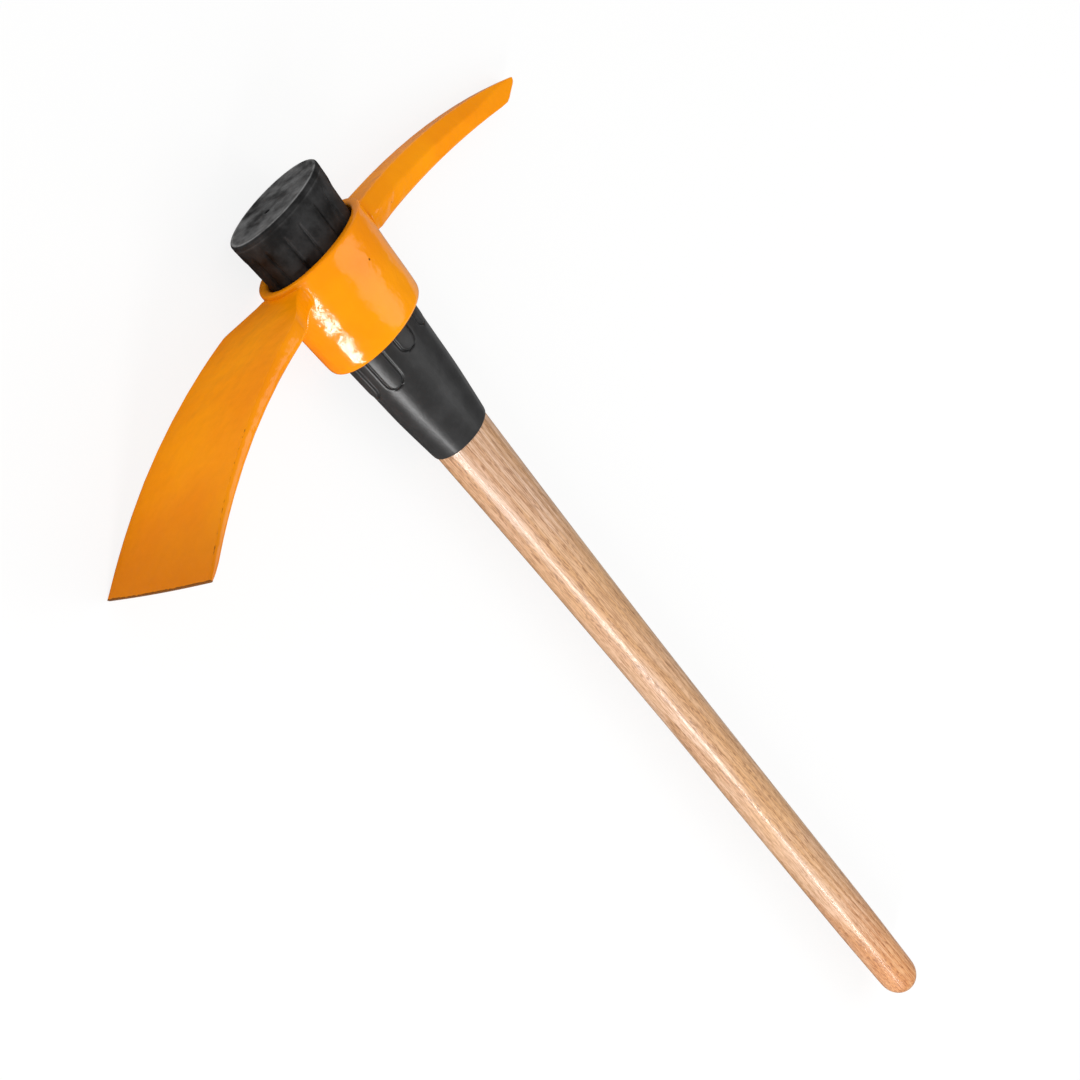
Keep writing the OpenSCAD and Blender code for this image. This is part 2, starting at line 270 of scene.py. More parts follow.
def polymerMaterial():
    s = polymerSet
    material, tree = newMaterial("blackPolymer")
    place = addNode(tree, "TexCoord").outputs["Object"]
    mottle = addNode(tree, "TexNoise", {"Vector": place, "Scale": repeats(s["mottleMm"]), "Detail": 6.0,
                                        "Roughness": s["mottleRough"]})
    tone = addNode(tree, "ValToRGB", {"Fac": mottle.outputs["Fac"]},
                   stops=fade(s["flowSpan"], hexColour(s["colour"]), hexColour(s["flow"])))

    # rubbed in patches on the wedge, evenly where the sleeve is smooth; on the rim and face the grey is
    # painted highlight and sheen as well as rubbing
    rubAndSheen = addNode(tree, "Attribute", attribute_name="rubAndSheen")
    polish = addNode(tree, "Attribute", attribute_name="polish")
    patchy = addNode(tree, "MapRange", {"Value": mottle.outputs["Fac"], "From Min": s["patchSpan"][0],
                                        "From Max": s["patchSpan"][1], "To Min": s["patchLeast"]})
    evened = addNode(tree, "Mix", {0: polish.outputs["Fac"], 2: patchy.outputs["Result"], 3: s["even"]})
    rubAndSheenFac = addNode(tree, "Math", {0: rubAndSheen.outputs["Fac"], 1: evened.outputs[0]}, operation="MULTIPLY")
    scuffedAndSheen = addNode(tree, "Mix", {0: rubAndSheenFac.outputs[0], 6: tone.outputs["Color"],
                                    7: hexColour(s["scuffAndSheen"])}, data_type="RGBA")

    # small nicks in some of the cells, and none on the sleeve
    nick = addNode(tree, "TexVoronoi", {"Vector": place, "Scale": repeats(s["nickMm"])})
    nickMask = addNode(tree, "ValToRGB", {"Fac": nick.outputs["Distance"]},
                       stops=fade(s["nickSpan"], grey(1.0), grey(0.0)))
    rare = addNode(tree, "Math", {0: nick.outputs["Color"], 1: s["nickFrom"]}, operation="GREATER_THAN")
    nicked = addNode(tree, "Math", {0: nickMask.outputs["Color"], 1: rare.outputs[0]}, operation="MULTIPLY")
    nickFac = addNode(tree, "Math", {0: nicked.outputs[0], 1: polish.outputs["Fac"]}, operation="SUBTRACT",
                      use_clamp=True)
    marked = addNode(tree, "Mix", {0: nickFac.outputs[0], 6: scuffedAndSheen.outputs[2],
                                   7: hexColour(s["nick"])}, data_type="RGBA")

    rough = addNode(tree, "MapRange", {"Value": polish.outputs["Fac"], "To Min": s["roughness"],
                                       "To Max": s["polished"]})
    waves = addNode(tree, "Bump", {"Height": mottle.outputs["Fac"], "Strength": s["waveBump"],
                                   "Distance": s["waveDeepMm"] * mm})
    grain = addNode(tree, "TexNoise", {"Vector": place, "Scale": repeats(s["grainMm"]), "Detail": 3.0})
    bumped = addNode(tree, "Bump", {"Height": grain.outputs["Fac"], "Strength": s["grainBump"],
                                    "Distance": s["grainDeepMm"] * mm, "Normal": waves.outputs["Normal"]})
    shader = addNode(tree, "BsdfPrincipled", {
        "Base Color": marked.outputs[2], "Roughness": rough.outputs["Result"],
        "Normal": bumped.outputs["Normal"], "IOR": s["ior"], "Specular IOR Level": s["shine"]})
    addNode(tree, "OutputMaterial", {"Surface": shader.outputs["BSDF"]})
    return material


# Clear-lacquered ash, turned and sanded: pinkish wood, growth rings that open as bands of short dark pores,
# fine fibre streaks, and a lacquer that pools in soft waves and soaks in darker at the butt. Pores and fibres
# are drawn two or three times as coarse as real ones, so that they show.
ashSet = {
    "pale": "#DEB99C", "mid": "#D3A684", "early": "#C4976F", "warm": "#D8A56C", "streak": "#B4855C",
    "pore": "#996C49", "soaked": "#DFA85E",
    "roughness": 0.45, "lacquer": 0.5, "lacquerRoughness": 0.16,
    "tilt": (0.0, 0.012, 0.03), "pith": (0.0, 0.041, -0.023), "wanderMm": 18.18, "wander": 0.022,
    "ringMm": 6.0, "ringTones": ((0.0, "pale"), (0.10, "early"), (0.34, "mid"), (0.7, "pale")),
    "ringPores": ((0.0, 0.45), (0.08, 1.0), (0.35, 0.9), (0.6, 0.45)),
    "hueMm": 40.0, "hueSpan": (0.42, 0.64), "hueMost": 0.65,
    "fibreMm": 0.8, "fibreLong": 40.0, "fibreSpan": (0.45, 0.62), "fibreMost": 0.8,
    "poreMm": 0.7, "poreLong": 10.0, "poreSpan": (0.52, 0.63), "poreMost": 0.95,
    "poreBump": 0.25, "poreDeepMm": 0.2,
    "waveMm": 11.0, "waveLong": 4.0, "waveBump": 0.3, "waveDeepMm": 2.0,
    "soakFrom": 0.16, "soakMost": 0.5,
}


def ashMaterial():
    s = ashSet
    material, tree = newMaterial("lacqueredAsh")
    place = addNode(tree, "TexCoord").outputs["Object"]

    # the same place drawn out along the handle: for fibres, for pores and for pools of lacquer
    fibre = addNode(tree, "Mapping", {"Vector": place, "Rotation": s["tilt"],
                                      "Scale": (s["fibreLong"], 1.0, 1.0)},
                    vector_type="TEXTURE").outputs["Vector"]
    short = addNode(tree, "Mapping", {"Vector": place, "Rotation": s["tilt"],
                                      "Scale": (s["poreLong"], 1.0, 1.0)},
                    vector_type="TEXTURE").outputs["Vector"]
    pool = addNode(tree, "Mapping", {"Vector": place, "Scale": (s["waveLong"], 1.0, 1.0)},
                   vector_type="TEXTURE").outputs["Vector"]

    # rings round a pith that lies outside the handle and wanders
    wander = addNode(tree, "TexNoise", {"Vector": fibre, "Scale": repeats(s["wanderMm"]), "Detail": 2.0})
    offset = addNode(tree, "VectorMath", {0: fibre, 1: s["pith"]}, operation="ADD")
    bent = addNode(tree, "VectorMath", {0: wander.outputs["Color"], 1: (0.0, s["wander"], s["wander"]),
                                        2: offset.outputs["Vector"]}, operation="MULTIPLY_ADD")
    split = addNode(tree, "SeparateXYZ", {"Vector": bent.outputs["Vector"]})
    flat = addNode(tree, "CombineXYZ", {"Y": split.outputs["Y"], "Z": split.outputs["Z"]})
    radius = addNode(tree, "VectorMath", {0: flat.outputs["Vector"]}, operation="LENGTH")
    rings = addNode(tree, "Math", {0: radius.outputs["Value"], 1: repeats(s["ringMm"])}, operation="MULTIPLY")
    ring = addNode(tree, "Math", {0: rings.outputs[0]}, operation="FRACT")
    tone = addNode(tree, "ValToRGB", {"Fac": ring.outputs[0]},
                   stops=[(at, hexColour(s[name])) for at, name in s["ringTones"]])
    early = addNode(tree, "ValToRGB", {"Fac": ring.outputs[0]},
                    stops=[(at, grey(share)) for at, share in s["ringPores"]])

    # warmer patches, then fibre streaks, then pores, most of them in the early wood
    hue = addNode(tree, "TexNoise", {"Vector": pool, "Scale": repeats(s["hueMm"]), "Detail": 3.0})
    hueMask = addNode(tree, "ValToRGB", {"Fac": hue.outputs["Fac"]},
                      stops=fade(s["hueSpan"], grey(0.0), grey(s["hueMost"])))
    warmed = addNode(tree, "Mix", {0: hueMask.outputs["Color"], 6: tone.outputs["Color"],
                                   7: hexColour(s["warm"])}, data_type="RGBA")
    streaks = addNode(tree, "TexNoise", {"Vector": fibre, "Scale": repeats(s["fibreMm"]), "Detail": 3.0})
    streakMask = addNode(tree, "ValToRGB", {"Fac": streaks.outputs["Fac"]},
                         stops=fade(s["fibreSpan"], grey(0.0), grey(s["fibreMost"])))
    streaked = addNode(tree, "Mix", {0: streakMask.outputs["Color"], 6: warmed.outputs[2],
                                     7: hexColour(s["streak"])}, data_type="RGBA")
    pores = addNode(tree, "TexNoise", {"Vector": short, "Scale": repeats(s["poreMm"]), "Detail": 1.0})
    poreMask = addNode(tree, "ValToRGB", {"Fac": pores.outputs["Fac"]},
                       stops=fade(s["poreSpan"], grey(0.0), grey(s["poreMost"])))
    poreFac = addNode(tree, "Math", {0: poreMask.outputs["Color"], 1: early.outputs["Color"]},
                      operation="MULTIPLY")
    pored = addNode(tree, "Mix", {0: poreFac.outputs[0], 6: streaked.outputs[2],
                                  7: hexColour(s["pore"])}, data_type="RGBA")

    # darker towards the butt
    along = addNode(tree, "SeparateXYZ", {"Vector": place})
    soak = addNode(tree, "MapRange", {"Value": along.outputs["X"], "From Min": s["soakFrom"],
                                      "From Max": buttX * mm, "To Max": s["soakMost"]})
    soaked = addNode(tree, "Mix", {0: soak.outputs["Result"], 6: pored.outputs[2],
                                   7: hexColour(s["soaked"])}, data_type="RGBA", blend_type="OVERLAY")

    sunk = addNode(tree, "Bump", {"Height": poreFac.outputs[0], "Strength": s["poreBump"],
                                  "Distance": s["poreDeepMm"] * mm}, invert=True)
    wave = addNode(tree, "TexNoise", {"Vector": pool, "Scale": repeats(s["waveMm"]), "Detail": 3.0})
    pooled = addNode(tree, "Bump", {"Height": wave.outputs["Fac"], "Strength": s["waveBump"],
                                    "Distance": s["waveDeepMm"] * mm, "Normal": sunk.outputs["Normal"]})
    shader = addNode(tree, "BsdfPrincipled", {
        "Base Color": soaked.outputs[2], "Roughness": s["roughness"], "Normal": sunk.outputs["Normal"],
        "Coat Weight": s["lacquer"], "Coat Roughness": s["lacquerRoughness"],
        "Coat Normal": pooled.outputs["Normal"]})
    addNode(tree, "OutputMaterial", {"Surface": shader.outputs["BSDF"]})
    return material


# Handle: round grip with a domed butt, swelling to the oval that enters the boot
handleSet = {
    "sides": 32, "smooth": 2, "grip": (36.0, 36.0), "haft": (49.5, 38.0),
    "tenon": 12.0, "tenonIn": (2.0, 1.5), "buttFlat": 8.0, "buttRings": (0.8, 2.0), "domeRows": 6,
    "narrow": 0.9, "narrowTo": 90.0, "gripRows": (25.0, 55.0, 90.0, 200.0),     # grip is slimmer at the butt
    "swellFrom": 310.0, "swellRows": 12,
}


def handleStations():
    s = handleSet
    grip, haft = halfOf(s["grip"]), halfOf(s["haft"])
    stations = [(buttX, (r, r)) for r in s["buttRings"]]
    for i in range(s["domeRows"] + 1):
        t = 0.5 * pi * i / s["domeRows"]
        r = (s["buttFlat"] + (s["grip"][0] - s["buttFlat"]) * sin(t)) / 2 - s["narrow"] * sin(t)
        stations.append((buttX * cos(t), (r, r)))
    for x in s["gripRows"]:
        stations.append((x, grow(grip, -s["narrow"] * (1 - ease(x / s["narrowTo"])))))
    for i in range(s["swellRows"] + 1):
        t = i / s["swellRows"]
        stations.append((taper(t, s["swellFrom"], mouthX), taperHalf(t * t, grip, haft)))
    end = mouthX + s["tenon"]
    return stations + [(end, haft), (end, s["tenonIn"])]


def buildHandle(material):
    s = handleSet
    stations = handleStations()
    widen = cageWiden(s["sides"])

    def place(n, column):
        x, half = stations[n]
        return ovalPoint(x, half, tau * column / s["sides"], widen)

    bm = bmesh.new()
    closeEnds(bm, ovalTube(bm, s["sides"], len(stations), place))
    finishPiece(bm, "ashHandle", "haft", "handle", material, s["smooth"])


# Boot: tapered oval sleeve, closed at its face, with raised tongues that have a narrow moat round them.
# Rows are measured from the mouth, the waist, a tongue's tip, the band under the face or the flash line.
bootSet = {
    "smooth": 1, "cap": (87.0, 54.0), "waist": (62.0, 44.6), "waistUp": 37.0, "lip": 1.2, "fit": 0.15,
    "tongues": 8, "columns": 16, "firstTongue": 0.75, "long": 134.0, "short": 121.0, "broad": 0.7,
    "high": 1.0, "wallDown": 0.25, "tipLong": 6.0, "tipLeast": 0.22, "crown": (-0.5, 0.0, 0.5),
    "dip": 1.0, "moat": [(1.75, "lip"), (1.4, "dip"), (0.35, "dip"), (-0.15, "wall"), (-0.7, "top")],
    "lipTo": -0.9, "dipTo": 0.1, "wallTo": 0.3,                  # how far these go round a tongue's tip
    "band": 12.0, "bandFade": 9.0, "edge": 1.7, "edgeTurns": (8, 30, 55, 78, 90),
    "socketRows": [(10.0, -12.0), (10.0, 0.0), (1.2, 0.0), (0.0, 0.25)],        # up, out from the inner wall
    "lipRows": [(0.0, -0.35), (0.7, 0.0)],                       # up, out from the outer wall
    "mouthRows": (6.0, 18.0), "waistRows": (-5.0, 5.0, 18.0), "wedgeRows": (22.0, 50.0, 80.0),
    "tipRows": (-2.6, -1.2, -0.85, -0.3, 0.15, 0.7, 1.5, 2.7, 4.3, 6.0),
    "bandRows": (-5.0, -2.4, -0.9, -0.1, 0.8, 3.0), "underEdge": 1.0,
    "flash": 0.07, "flashDown": 3.9, "flashHalf": 0.3, "flashRows": (-0.7, -0.25, 0.25, 0.7),
    "ringRows": [(0.0, 2.3), (0.1, 2.9)], "dish": 0.5, "dishRows": (4.6, 9.0, 16.0, 23.0),
    "gate": (8.7, 0.0), "gateWide": 5.0, "gateTop": 4.0, "gateHigh": 0.9, "gateSides": 16,
    # the rim's and the face's greys are painted highlight and painted sheen over rubbing
    "rimHighlightAndRub": 1.5, "faceSheenAndRub": 0.72, "rubFlash": 0.25, "rubWedge": 0.1, "rubSleeve": 0.24,
    "rimRows": (3, 6), "polishFrom": 30.0, "polishFade": 40.0,
}


def bootHalf(x):
    s = bootSet
    waistX = mouthX + s["waistUp"]
    waist = halfOf(s["waist"])
    if x < waistX:
        mouth = grow(grow(halfOf(handleSet["haft"]), s["fit"]), s["lip"])
        return taperHalf(x, mouth, waist, mouthX, waistX)
    return taperHalf(x, waist, grow(halfOf(s["cap"]), -s["high"]), waistX, faceX)


def tongueCentre(k):
    return tau / bootSet["tongues"] * (k + bootSet["firstTongue"])


def tongueTip(k):
    s = bootSet
    onBroad = abs(sin(tongueCentre(k))) > s["broad"]             # tongues on the broad sides end sooner
    return faceX - (s["short"] if onBroad else s["long"])


# Half of a tongue's angle at x: it takes half of its share of the turn, and closes round at its tip
def tongueHalf(k, x):
    s = bootSet
    t = min(max((x - tongueTip(k)) / s["tipLong"], 0.0), 1.0)
    return tau / s["tongues"] / 4 * max(sqrt(1 - (1 - t) ** 2), s["tipLeast"])


# Angle and level of one of the boot's columns at x: down and up a moat on each side of a tongue, over its
# crown, and across the valley to the next tongue
def bootColumn(column, x):
    s = bootSet
    moat = s["moat"]
    roles = moat + [(share, "top") for share in s["crown"]] + moat[::-1]
    k, j = divmod(column, s["columns"])
    centre = tongueCentre(k)
    half = bootHalf(x)
    wide = tongueHalf(k, x)
    past = x - tongueTip(k)
    band = faceX - s["band"]
    valley = s["high"] * ease((x - band + s["bandFade"]) / s["bandFade"])
    sunk = valley - (s["dip"] if x < band else 0.0)

    def angleOf(offset, angle):
        return offset / sqrt((half[0] * sin(angle)) ** 2 + (half[1] * cos(angle)) ** 2)

    if j >= len(roles):
        lip = moat[0][0]
        start = centre + wide
        end = centre + tau / s["tongues"] - tongueHalf((k + 1) % s["tongues"], x)
        start += angleOf(lip, start)
        end -= angleOf(lip, end)
        across = (j - len(roles) + 1) / (s["columns"] - len(roles) + 1)
        return start + (end - start) * across, valley
    offset, role = roles[j]
    if len(moat) <= j < len(roles) - len(moat):
        angle = centre + offset * (wide + angleOf(moat[-1][0], centre))
    else:
        side = -1 if j < len(moat) else 1
        angle = centre + side * (wide + angleOf(offset, centre + side * wide))
    if role == "lip" or past < s["lipTo"]:
        level = valley
    elif role == "dip" or past < s["dipTo"]:
        level = sunk
    else:
        level = s["high"] - (s["wallDown"] if role == "wall" or past < s["wallTo"] else 0.0)
    return angle, max(level, sunk)


def bootStations():
    s = bootSet
    band = faceX - s["band"]
    waistX = mouthX + s["waistUp"]
    inner = grow(halfOf(handleSet["haft"]), s["fit"])
    plain = [(mouthX + up, grow(inner, out)) for up, out in s["socketRows"]]
    plain += [(mouthX + up, grow(bootHalf(mouthX), out)) for up, out in s["lipRows"]]

    tips = sorted({round(tongueTip(k), 3) for k in range(s["tongues"])})
    xs = [mouthX + up for up in s["mouthRows"]] + [waistX + up for up in s["waistRows"]]
    xs += [tip + up for tip in tips for up in s["tipRows"]] + [tips[-1] + up for up in s["wedgeRows"]]
    xs += [band + up for up in (-s["bandFade"], *s["bandRows"])]
    xs += [faceX - s["flashDown"] + up for up in s["flashRows"]] + [faceX - s["edge"] - s["underEdge"]]

    top = bootHalf(faceX - s["edge"])
    edge = []
    for turn in (radians(degrees) for degrees in s["edgeTurns"]):
        edge.append((faceX - s["edge"] * (1 - sin(turn)), grow(top, s["high"] - s["edge"] * (1 - cos(turn)))))
    face = s["ringRows"] + [(s["dish"], inset) for inset in s["dishRows"]]
    edge += [(faceX - down, grow(top, s["high"] - inset)) for down, inset in face]
    return plain, sorted(xs), edge


def buildBoot(material):
    s = bootSet
    plain, xs, edge = bootStations()
    firstEdge = len(plain) + len(xs)

    def onFlash(x):
        return abs(x - faceX + s["flashDown"]) < s["flashHalf"]

    def place(n, column):
        if n < len(plain):
            x, half = plain[n]
            angle = bootColumn(column, mouthX)[0]
        elif n < firstEdge:
            x = xs[n - len(plain)]
            angle, level = bootColumn(column, x)
            half = grow(bootHalf(x), level + (s["flash"] if onFlash(x) else 0.0))
        else:
            x, half = edge[n - firstEdge]
            angle = bootColumn(column, faceX)[0]
        return ovalPoint(x, half, angle)

    bm = bmesh.new()
    closeEnds(bm, ovalTube(bm, s["columns"] * s["tongues"], firstEdge + len(edge), place))

    # grey most round the rim of the face, a painted highlight over rubbing, then on the face, a painted sheen
    # over rubbing, and rubbed on the flash line
    row = bm.verts.layers.int["row"]
    rubAndSheen = bm.verts.layers.float.new("rubAndSheen")
    polish = bm.verts.layers.float.new("polish")
    rimRows = range(firstEdge + s["rimRows"][0], firstEdge + s["rimRows"][1])
    for v in bm.verts:
        v[polish] = ease((footX + s["polishFrom"] - v.co.x) / s["polishFade"])
        if v[row] in rimRows:
            v[rubAndSheen] = s["rimHighlightAndRub"]
        elif v[row] > rimRows[-1]:
            v[rubAndSheen] = s["faceSheenAndRub"]
        elif onFlash(v.co.x):
            v[rubAndSheen] = s["rubFlash"]
        else:
            v[rubAndSheen] = taper(v[polish], s["rubWedge"], s["rubSleeve"])

    # the mould's gate mark, standing in the dish of the face
    gate = bmesh.ops.create_cone(bm, cap_ends=True, segments=s["gateSides"], radius1=s["gateWide"] / 2,
                                 radius2=s["gateTop"] / 2, depth=s["gateHigh"])["verts"]
    seat = Matrix.Translation((faceX - s["dish"], *s["gate"])) @ Matrix.Rotation(pi / 2, 4, "Y")
    bmesh.ops.transform(bm, matrix=seat, verts=gate)
    finishPiece(bm, "mouldedBoot", "haft", "boot", material, s["smooth"])


# Head: a collar with a tapered eye, and two arms grown out of its wall station by station.
# Rows of the collar are measured up from its foot or down from its rim, and out from the wall.
headSet = {
    "sides": 36, "smooth": 2, "rim": (96.0, 69.0), "foot": (88.5, 64.0), "eyeFit": 0.4,
    "footRows": [(0.0, -5.4), (0.4, -2.4), (2.4, -0.35), (7.0, 0.0), (24.0, 0.0)],
    "rimRows": [(1.7, 0.0), (0.45, -0.45), (0.0, -1.6)],
    "eyeRimRows": [(0.0, 2.6), (0.5, 1.1), (2.0, 0.2), (6.0, 0.0)],
    "eyeFootRows": [(24.0, 0.0), (2.0, 0.0), (0.3, 0.3), (0.0, 1.0)],
    "armColumns": 3, "armRows": 5, "rootIn": 5.0, "rootSteps": (0.12, 0.45), "rootCrease": 0.6, "blend": 0.8,
}
rootY = headSet["rim"][0] / 2     # reach at which both arms leave the collar

adzeSet = {
    "reach": 248.0, "curve": 440.0, "bend": 65.0, "step": 3.5, "neckIn": 9.0, "shoulder": 85.0,
    "neckWide": 34.0, "shoulderWide": 76.0, "edgeWide": 92.5, "flare": 1.3, "bow": 0.8, "bevel": 9.0,
    "neckThick": 14.5, "shoulderThick": 12.0, "bladeThick": 4.5, "edgeThick": 1.4,
    "across": (0.0, 0.5, 0.94, 1.0), "through": (0.0, 0.2, 0.5, 0.8, 1.0), "draft": (2.6, 0.0, 0.0, 0.0, 0.8),
    "longCrease": 0.5, "tipCrease": 0.9, "tipWear": 1.5, "chips": 0.6, "chipsFrom": 150.0,
    # share and length of the darkening towards the cutting edge: painted shade of the lower blade over
    # thinner paint
    "thinShaded": 0.75, "thinShadeLong": 75.0,
    "stations": (52, 57, 63, 70, 78, 87, 100, 118, 138, 158, 178, 198, 212, 222, 229, 236, 242, 245.6, 247),
}
pickSet = {
    "reach": 258.0, "curve": 680.0, "bend": 12.0, "step": 5.4, "rootHigh": 22.5, "pointHigh": 14.0,
    "swell": 2.6, "rootFlat": 19.5, "pointFlat": 8.5, "rootBelly": 6.5, "pointBelly": 3.5, "bellyShare": 0.45,
    "flare": 1.0, "flareLong": 26.0, "close": 0.85, "closeFrom": 185.0,
    "point": 22.0, "round": 0.45, "ends": (9.0, 0.0, 0.8, 1.4, 2.2),
    "creases": (0.5, 0.0, 0.9, 0.0, 0.5), "creasesTo": 240.0,
    "stations": (52, 58, 66, 76, 90, 108, 126, 144, 162, 180, 198, 216, 232, 243, 249, 252.5, 255, 256.8,
                 257.7),
}


def collarHalf(x):
    return taperHalf(x, halfOf(headSet["foot"]), halfOf(headSet["rim"]), footX, rimX)


def eyeHalf(x):
    return grow(bootHalf(x), bootSet["high"] + headSet["eyeFit"])


# Point on an arm that runs straight, then bends down on an arc: out by reach, square to it by drop
def armPoint(arm, reach, drop, z, way):
    turn = 0.0 if reach <= arm["bend"] else asin((reach - arm["bend"]) / arm["curve"])
    top = rimX - arm["step"] - arm["curve"] * (1 - cos(turn))
    return top - drop * cos(turn), way * (reach - drop * sin(turn)), z


def adzePlace(reach, column, row):
    s = adzeSet
    neck = rootY - s["neckIn"]
    bevel = s["reach"] - s["bevel"]
    if reach < s["shoulder"]:
        wide = taper(ease((reach - neck) / (s["shoulder"] - neck)), s["neckWide"], s["shoulderWide"])
        thick = taper(ease((reach - rootY) / (s["shoulder"] - rootY)), s["neckThick"], s["shoulderThick"])
    else:
        spread = ((reach - s["shoulder"]) / (s["reach"] - s["shoulder"])) ** s["flare"]
        wide = taper(spread, s["shoulderWide"], s["edgeWide"])
        thick = (taper(reach, s["shoulderThick"], s["bladeThick"], s["shoulder"], bevel) if reach < bevel
                 else taper(reach, s["bladeThick"], s["edgeThick"], bevel, s["reach"]))
    across = s["across"][abs(column)] * (1 if column > 0 else -1)
    cut = min(s["draft"][row], thick / 3)         # the draft of a thin edge is a third of it
    bow = s["bow"] * ease((reach - bevel) / s["bevel"]) * (1 - across ** 2)
    return armPoint(s, reach + bow, thick * (1 - s["through"][row]), across * (wide / 2 - cut), 1)


# Six sides: the rows lie on the lower flat, half way, on the side's edge, half way and on the upper flat.
# The side's edge goes up to the upper flat towards the point, which leaves four sides, rounded from below.
def pickPlace(reach, column, row):
    s = pickSet
    past = min(max((reach - s["reach"] + s["point"]) / s["point"], 0.0), 1.0)
    keep = 1 - s["round"] * (1 - sqrt(1 - past * past))
    ridge = 1 - s["close"] * ease((reach - s["closeFrom"]) / (s["reach"] - s["closeFrom"]))
    along = max(0.0, (reach - rootY) / (s["reach"] - rootY))
    low = taper(along ** s["swell"], s["rootHigh"], s["pointHigh"]) * keep
    side = low * s["bellyShare"] * ridge
    flare = s["flare"] * (1 - ease((reach - rootY) / s["flareLong"]))
    flat = taper(reach, s["rootFlat"], s["pointFlat"], rootY, s["reach"]) / 2 + flare
    belly = flat + taper(reach, s["rootBelly"], s["pointBelly"], rootY, s["reach"]) * keep * ridge
    drop = (low, (low + side) / 2, side, side / 2, 0.0)[row]
    half = (flat * keep, (flat * keep + belly) / 2, belly, (belly + flat) / 2, flat)[row]
    return armPoint(s, reach - s["ends"][row] * past ** 2, drop, half * column / headSet["armColumns"], -1)


# Profile of the collar, up its outside, over the rim and down the eye, in its two stretches beside the arms
def collarStations():
    s = headSet
    before = [(footX + up, grow(collarHalf(footX + up), out)) for up, out in s["footRows"]]
    after = [(rimX - down, grow(collarHalf(rimX - down), out)) for down, out in s["rimRows"]]
    after += [(rimX - down, grow(eyeHalf(rimX - down), out)) for down, out in s["eyeRimRows"]]
    after += [(footX + up, grow(eyeHalf(footX + up), out)) for up, out in s["eyeFootRows"]]
    return before, after


# Where a ring of the wall goes between the two arms: level with the adze's root on +Y, with the pick's on -Y,
# and drawn in to the outline of each
def wallPoint(row, column, widen):
    s = headSet
    quarter = s["sides"] // 4
    onPick = quarter < column < 3 * quarter
    middle, armPlace = (2 * quarter, pickPlace) if onPick else (0, adzePlace)
    away = (column - middle + 2 * quarter) % s["sides"] - 2 * quarter
    edge = asin(armPlace(rootY - s["rootIn"], s["armColumns"], row)[2] / (s["rim"][1] / 2))
    inner = min(abs(away), s["armColumns"])
    beyond = (abs(away) - inner) / (quarter - s["armColumns"])
    drawn = edge * inner / s["armColumns"] + (pi / 2 - edge) * beyond
    turn = tau * middle / s["sides"] + (drawn if away > 0 else -drawn)
    share = ease(0.5 - s["blend"] * cos(turn))
    x = taper(share, adzePlace(rootY, 0, row)[0], pickPlace(rootY, 0, row)[0])
    return ovalPoint(x, collarHalf(x), turn, widen)


def growArm(bm, faces, stations, armPlace):
    column = bm.verts.layers.int["column"]
    row = bm.verts.layers.int["row"]
    steps = [(stations[0], share) for share in headSet["rootSteps"]] + [(reach, 1.0) for reach in stations]
    for reach, share in steps:
        grown = bmesh.ops.extrude_face_region(bm, geom=faces)["geom"]
        bmesh.ops.delete(bm, geom=faces, context="FACES")
        faces = [g for g in grown if isinstance(g, bmesh.types.BMFace)]
        for v in (g for g in grown if isinstance(g, bmesh.types.BMVert)):
            v.co = armPlace(taper(share, abs(v.co.y), reach), v[column], v[row])
    return faces


# Crisp cutting edge with its paint worn off, paint thinner and darker towards it, a painted shade of the
# lower blade, and chips along the long upper edges
def dressAdze(bm, tip, crease):
    s = adzeSet
    column = bm.verts.layers.int["column"]
    row = bm.verts.layers.int["row"]
    wear = bm.verts.layers.float["wear"]
    ground = bm.verts.layers.float["ground"]
    creaseBorder(tip, crease, s["tipCrease"])
    for v in {v for f in tip for v in f.verts}:
        v[wear] = s["tipWear"]
    for e in bm.edges:
        onCorner = all(abs(v[column]) == headSet["armColumns"] and v[row] == headSet["armRows"] - 1
                       for v in e.verts)
        if onCorner and min(v.co.y for v in e.verts) > rootY:
            e[crease] = s["longCrease"]
            for v in e.verts:
                if v.co.y > s["chipsFrom"]:
                    v[wear] = max(v[wear], s["chips"])
    for v in bm.verts:
        # darker towards the cutting edge: painted shade of the lower blade over thinner paint
        v[ground] = s["thinShaded"] * ease((v.co.y - s["reach"] + s["thinShadeLong"]) / s["thinShadeLong"])


# Crisp edges along the pick's flats and sides, as far as the rounding of its point
def dressPick(bm, crease):
    column = bm.verts.layers.int["column"]
    row = bm.verts.layers.int["row"]
    for e in bm.edges:
        a, b = e.verts
        along = a[column] == b[column] and a[row] == b[row] and abs(a[column]) == headSet["armColumns"]
        reaches = (-a.co.y, -b.co.y)
        if along and min(reaches) > rootY and max(reaches) < pickSet["creasesTo"]:
            e[crease] = pickSet["creases"][a[row]]


